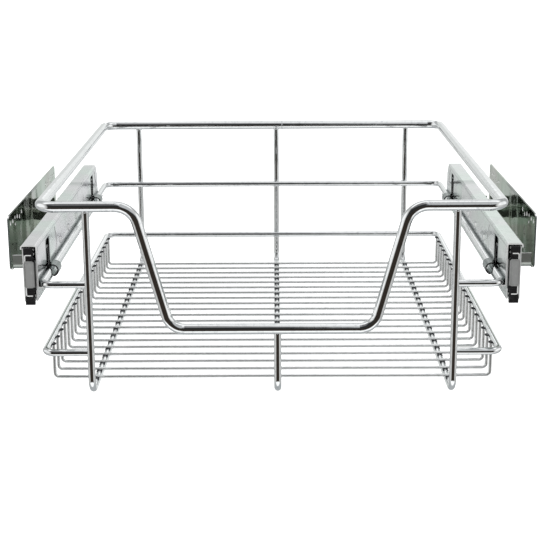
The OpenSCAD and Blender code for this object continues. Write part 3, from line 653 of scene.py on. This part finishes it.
def plated_sheet(
    name, light, dark, gloss, crystal, bump_height, wave_height=0.0,
    shade_of=None, shade_tone=(0.10, 0.125, 0.125), sheet_face=None,
    cut_face_shade_of=None, cut_face_shade_tone=(0.02, 0.02, 0.02),
    green=(0.93, 1.0, 0.95), pink=(1.0, 0.955, 0.985),
):
    tree = start_finish(name)
    sheet = place_group(tree, grain, Crystal_Scale=crystal)
    wear = place_group(tree, marks, Scale=60.0, Cover=0.5)
    tone = blend_colours(tree, sheet["Tone"], dark, light)
    scratches = product(tree, wear["Scratch"], SCRATCH_SHARE)
    tone = blend_colours(tree, scratches, tone, SCRATCH_TONE)
    clouds = place_group(tree, passivation)["Mask"]
    tone = blend_colours(tree, 1.0, tone, blend_colours(tree, clouds, green, pink), "MULTIPLY")
    # shade_of darkens the colour with a mask of painted shade and painted reflections
    if shade_of:
        tone = blend_colours(tree, shade_of(tree), tone, shade_tone)

    cut = cut_edge(tree)
    if sheet_face:
        edge_share = compute(tree, "MULTIPLY_ADD", sheet_face(tree), -FACE_SPARED, 1.0)
        cut = product(tree, cut, edge_share)
    edge_tone = EDGE_TONE
    # painted shade on cut faces: in the slots of a carrier and on the front edge of a bracket
    if cut_face_shade_of:
        edge_tone = blend_colours(tree, cut_face_shade_of(tree), edge_tone, cut_face_shade_tone)
    tone = blend_colours(tree, cut, tone, edge_tone)
    metallic = ramp(tree, cut, first=1.0, last=EDGE_METALLIC)
    rough = ramp(tree, wear["Mask"], first=gloss[0], last=gloss[1])
    rough = ramp(tree, cut, first=rough, last=EDGE_ROUGHNESS)

    normal = None
    if wave_height:
        wave = place_group(tree, ripple, Scale=26.0, Fine_Scale=60.0)
        normal = bumped(tree, wave["Height"], strength=1.0, distance=wave_height)
    normal = bumped(tree, sheet["Height"], strength=0.4, distance=bump_height, under=normal)
    finish_surface(tree, tone, rough, metallic, normal)


# %% Make the metals
RAIL_STEEL = dict(
    light=(0.66, 0.68, 0.68), dark=(0.54, 0.57, 0.57), gloss=(0.14, 0.26), crystal=160.0,
    bump_height=0.05 * MM,
)

plated_wire("chrome_wire", (0.92, 0.93, 0.935), (0.70, 0.715, 0.73), gloss=(0.03, 0.12), cover=0.52)
plated_wire("ball_steel", (0.80, 0.81, 0.83), (0.66, 0.67, 0.68), gloss=(0.05, 0.16), cover=0.52)
plated_wire(
    "thin_wire", (0.90, 0.91, 0.91), (0.76, 0.78, 0.78), gloss=(0.12, 0.26), cover=0.50,
    metallic=0.78,
)
plated_sheet(
    "carrier_sheet", light=(0.84, 0.86, 0.855), dark=(0.70, 0.73, 0.725), gloss=(0.12, 0.26),
    crystal=90.0, bump_height=0.06 * MM, wave_height=0.4 * MM,
    shade_of=carrier_painted_shade, cut_face_shade_of=painted_slot_shade,
)
# the brackets carry painted reflection of the shaded gap on their front half and upper edge
plated_sheet(
    "bracket_sheet", light=(0.47, 0.51, 0.455), dark=(0.35, 0.39, 0.335), gloss=(0.05, 0.13),
    crystal=60.0, bump_height=0.04 * MM, wave_height=1.4 * MM,
    shade_of=bracket_painted_shade, shade_tone=(0.085, 0.110, 0.085), sheet_face=bent_tab,
    cut_face_shade_of=front_end, cut_face_shade_tone=(0.10, 0.12, 0.11),
    green=(0.86, 1.0, 0.90), pink=(1.0, 0.93, 0.92),
)
plated_sheet("rail_steel", **RAIL_STEEL)
# the inner rails carry painted shade behind the carrier's slots
plated_sheet("rail_painted_shade", **RAIL_STEEL, shade_of=painted_window_shade, shade_tone=(0.012, 0.012, 0.012))
plated_sheet(
    "rivet_steel", light=(0.74, 0.75, 0.76), dark=(0.60, 0.62, 0.63), gloss=(0.25, 0.40),
    crystal=300.0, bump_height=0.04 * MM,
)
print("finishes so far:", ", ".join(finishes))

# %% [markdown]
# The stops, cages and caps are moulded plastic. Real mouldings have a fine spark-eroded texture
# and slightly shinier rubbed places, so the roughness follows the marks and the bump is fine.

# %% Plastic finishes
SOFT_EDGE = 0.4 * MM


def moulded_plastic(name, colour, rubbed, gloss):
    tree = start_finish(name)
    wear = place_group(tree, marks, Scale=220.0, Cover=0.5)["Mask"]
    texture = place_group(tree, ripple, Scale=1400.0, Fine_Scale=4200.0)["Height"]
    soft_edge = add_node(tree, "ShaderNodeBevel", {"Radius": SOFT_EDGE}, samples=6).outputs[0]
    rough = ramp(tree, wear, first=gloss[1], last=gloss[0])
    normal = bumped(tree, texture, strength=0.3, distance=0.06 * MM, under=soft_edge)
    finish_surface(tree, blend_colours(tree, wear, colour, rubbed), rough, 0.0, normal)


moulded_plastic("black_plastic", (0.016, 0.016, 0.017), (0.030, 0.030, 0.032), gloss=(0.08, 0.24))
moulded_plastic("cage_plastic", (0.026, 0.026, 0.028), (0.050, 0.050, 0.053), gloss=(0.34, 0.52))
moulded_plastic("grey_plastic", (0.300, 0.305, 0.300), (0.380, 0.385, 0.380), gloss=(0.30, 0.50))
print(len(finishes), "finishes")

# %% Put the finishes on the CAD nodes
slot_of = {part["node"]: part["material_slot"] for part in frame["record"]["subparts"]}
# the inner rails get their own finish with painted shade behind the slots
own_finish = {
    "left_inner_rail": "rail_painted_shade",
    "right_inner_rail": "rail_painted_shade",
    "tray_wires": "thin_wire",
}


def finish_of(node):
    return finishes[own_finish.get(node, slot_of[node])]


for name, obj in frame["nodes"].items():
    for place in obj.material_slots:
        place.material = finish_of(name)
print("finished", len(frame["nodes"]), "nodes with", len(set(slot_of.values())), "slots")

# %% A helper for new pieces
def finished_piece(name, mesh_data, body, material):
    """Turn a bmesh into an object that rides on a body and has a finish."""
    mesh = bpy.data.meshes.new(name)
    mesh_data.to_mesh(mesh)
    mesh_data.free()
    piece = bpy.data.objects.new(name, mesh)
    bpy.context.scene.collection.objects.link(piece)
    piece.data.materials.append(material)
    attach(piece, body)
    print(name, len(mesh.polygons), "faces on", body)
    return piece


def smooth_faces(mesh_data):
    for face in mesh_data.faces:
        face.smooth = True


# %% [markdown]
# Measured again in the finished picture, the wires of the photographed basket are a trace thicker
# than those of the CAD model: about 9, 6 and 2.8 mm. So each wire is shown by a copy that is a
# little swollen. The copy's loose triangles are merged first. Then every vertex moves outwards
# along the mean of its faces' normals, weighted by their areas, so that the small faces at the
# ends and joints hardly count. The same directions become the normals that the light sees: a
# mirror shows every error in them, above all on the long thin triangles of a straight wire.

# %% Thicker wires
THICK_WIRES = ("top_rim", "middle_rail", "tray_rail", "left_hoop", "centre_hoop", "right_hoop")
THICK_EXTRA, THIN_EXTRA = mm(0.45, 0.15)             # all round
SAME_PLACE = 0.002 * MM


def swollen_wire(node, extra):
    shell = bmesh.new()
    shell.from_mesh(frame["nodes"][node].data)
    bmesh.ops.remove_doubles(shell, verts=shell.verts, dist=SAME_PLACE)
    bmesh.ops.recalc_face_normals(shell, faces=shell.faces)
    area = {face: face.calc_area() for face in shell.faces}
    outwards = [
        sum((face.normal * area[face] for face in vert.link_faces), Vector()).normalized()
        for vert in shell.verts
    ]
    for vert, out in zip(shell.verts, outwards):
        vert.co += out * extra
    smooth_faces(shell)
    piece = finished_piece(node + "_plated", shell, "basket", finish_of(node))
    piece.data.normals_split_custom_set_from_vertices(outwards)
    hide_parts(node)


for node in THICK_WIRES:
    swollen_wire(node, THICK_EXTRA)
swollen_wire("tray_wires", THIN_EXTRA)

# %% [markdown]
# On the real basket every crossing is resistance welded: the two wires sink into each other by a
# trace and a small round saddle of metal stands in the corner, under the plate. A CAD model of
# touching wires has no such metal. One mesh of small flattened balls, each sunk into its
# crossing, gives the crossings this soft look. Their places come from the boxes of the wires.

# %% Where the wires cross
WIRES = 20
thin_r = 1.25 * MM
rim_r = 4.0 * MM
rim_low, rim_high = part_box("top_rim")
rail_low, rail_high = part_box("tray_rail")
tray_low, tray_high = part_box("tray_wires")
rail_r = (rail_high[2] - rail_low[2]) / 2            # the hoops are as thick as the rails

first_y = tray_low[1] + thin_r
wire_gap = (tray_high[1] - thin_r - first_y) / (WIRES - 1)
wire_y = [first_y + i * wire_gap for i in range(WIRES)]
hoop_x = {hoop: middle(hoop, 0) for hoop in ("left_hoop", "centre_hoop", "right_hoop")}
rail_z = {rail: middle(rail, 2) for rail in ("middle_rail", "tray_rail")}
print(len(hoop_x), "hoops and", WIRES, "thin wires, every", round(wire_gap / MM, 2), "mm")

# %% [markdown]
# The upright legs meet the rim wire end on, so their welds are collars round the top of each leg.
# The centre leg ends lower in front, at the dip of the rim.

# %% Places of the welds
ON_HOOP = mm(2.25, 1.85, 1.15)                       # half sizes: a thin wire on a hoop
AT_END = mm(1.15, 1.85, 2.25)                        # the end of a thin wire at the tray rail
ON_LEG = mm(2.45, 1.25, 2.45)                        # a rail on an upright leg
COLLAR = mm(3.45, 3.45, 1.65)
COLLAR_RISE = 0.2 * MM

rail_inside = (rail_low[0] + 2 * rail_r, rail_high[0] - 2 * rail_r)
welds = []                                           # (place, half sizes)
for y in wire_y:
    welds += [((x, y, 2 * rail_r), ON_HOOP) for x in hoop_x.values()]
    welds += [((x, y, rail_z["tray_rail"]), AT_END) for x in rail_inside]
for z in rail_z.values():
    welds += [((x, rail_high[1], z), ON_LEG) for x in hoop_x.values()]
    welds += [((hoop_x[hoop], rail_low[1], z), ON_LEG) for hoop in ("left_hoop", "right_hoop")]
for hoop, x in hoop_x.items():
    back_z = rim_high[2] - 2 * rim_r
    front_z = rim_low[2] if hoop == "centre_hoop" else back_z
    welds.append(((x, rim_low[1] + rim_r, front_z + COLLAR_RISE), COLLAR))
    welds.append(((x, rim_high[1] - rim_r, back_z + COLLAR_RISE), COLLAR))
print(len(welds), "welds")

# %% Build the welds as one mesh
UNEVEN_WELD = 0.08                                   # no two welds are quite alike
WELD_STEP = 2.4


def add_ball(target, place, half):
    shape = Matrix.Translation(place) @ Matrix.Diagonal((*half, 1))
    bmesh.ops.create_uvsphere(target, u_segments=8, v_segments=6, radius=1.0, matrix=shape)


weld_mesh = bmesh.new()
for i, (place, half) in enumerate(welds):
    share = 1.0 + UNEVEN_WELD * math.sin(i * WELD_STEP)
    add_ball(weld_mesh, place, [h * share for h in half])
smooth_faces(weld_mesh)
print(len(weld_mesh.faces), "faces of welds")

# %% [markdown]
# Welding also leaves marks. Each cut end of a thin wire, welded inside the side rail, is drawn with
# a dark ring round its top, and the closing weld of the rim wire is a faint ridge at the back. A
# ring is a small circle spun round an axis.

# %% Dark rings at the wire ends and the seam of the rim
RING_SINK, RING_RADIUS, RING_WIRE = mm(0.4, 1.60, 0.78)
SEAM_X, SEAM_RISE, SEAM_WIRE = mm(11, 0.20, 0.5)
UP, ACROSS = Vector((0, 0, 1)), Vector((1, 0, 0))


def add_ring(target, centre, radius, wire, axis, out, steps):
    """A ring round an axis; out is the way from the centre to the circle that is spun."""
    facing = Matrix((out, axis, out.cross(axis))).transposed().to_4x4()
    place = Matrix.Translation(Vector(centre) + out * radius) @ facing
    circle = bmesh.ops.create_circle(target, segments=7, radius=wire, matrix=place)["verts"]
    edges = list({edge for vert in circle for edge in vert.link_edges})
    bmesh.ops.spin(
        target, geom=circle + edges, cent=centre, axis=axis,
        angle=2 * math.pi, steps=steps, use_merge=True,
    )


def close_rings(target):
    bmesh.ops.remove_doubles(target, verts=target.verts, dist=0.01 * MM)
    bmesh.ops.recalc_face_normals(target, faces=target.faces)
    smooth_faces(target)


end_ring_mesh = bmesh.new()
end_x = tray_high[0] - thin_r
for y in wire_y:
    for x in (-end_x, end_x):
        centre = (x, y, tray_high[2] - RING_SINK)
        add_ring(end_ring_mesh, centre, RING_RADIUS, RING_WIRE, UP, ACROSS, steps=14)
close_rings(end_ring_mesh)

seam_mesh = bmesh.new()
seam_place = (SEAM_X, rim_high[1] - rim_r, rim_high[2] - rim_r)
add_ring(seam_mesh, seam_place, rim_r + SEAM_RISE, SEAM_WIRE, ACROSS, UP, steps=40)
close_rings(seam_mesh)
print(len(end_ring_mesh.faces), "faces of scale,", len(seam_mesh.faces), "faces of seam")

# %% [markdown]
# Under the tray the heat has run forwards along each hoop from its crossings. The marks there are a
# dark bar below the thin wire and two short spurs on the shoulders of the hoop.

# %% Scale at the crossings
HOOP_TOP = 2 * rail_r + THICK_EXTRA
BAR = mm(2.9, 1.9, 0.65)                             # half sizes
BAR_FORWARD, BAR_SINK = mm(0.5, 0.15)
SPUR = mm(0.95, 2.6, 0.50)
SPUR_SIDE, SPUR_START, SPUR_SINK = mm(1.6, 1.0, 0.55)
UNEVEN_MARK = 0.15
MARK_STEPS = (1.9, 2.3)

crossing_mesh = bmesh.new()
for i, y in enumerate(wire_y):
    for j, x in enumerate(hoop_x.values()):
        change = UNEVEN_MARK * math.sin(i * MARK_STEPS[0] + j * MARK_STEPS[1])
        bar_place = (x, y - BAR_FORWARD, HOOP_TOP - BAR_SINK)
        add_ball(crossing_mesh, bar_place, (BAR[0], BAR[1] * (1 + change), BAR[2]))
        for side in (-1, 1):
            reach = SPUR[1] * (1 + side * change)
            spur_place = (x + side * SPUR_SIDE, y - SPUR_START - reach, HOOP_TOP - SPUR_SINK)
            add_ball(crossing_mesh, spur_place, (SPUR[0], reach, SPUR[2]))
smooth_faces(crossing_mesh)
print(len(crossing_mesh.faces), "faces of scale at the crossings")

# %% Finish of the scale
def burnt_metal(name):
    """Blue-black scale: dark, half metallic, rougher where it is thick."""
    tree = start_finish(name)
    wear = place_group(tree, marks, Scale=900.0, Cover=0.5)["Mask"]
    shade = blend_colours(tree, wear, (0.020, 0.022, 0.026), (0.07, 0.07, 0.08))
    finish_surface(tree, shade, ramp(tree, wear, first=0.32, last=0.55), metallic=0.6)


# %% Place the welds and their scale
burnt_metal("weld_scale")
finished_piece("spot_welds", weld_mesh, "basket", finishes["chrome_wire"])
finished_piece("rim_seam", seam_mesh, "basket", finishes["ball_steel"])
for name, mesh_data in (("weld_scale", end_ring_mesh), ("crossing_scale", crossing_mesh)):
    finished_piece(name, mesh_data, "basket", finishes["weld_scale"])
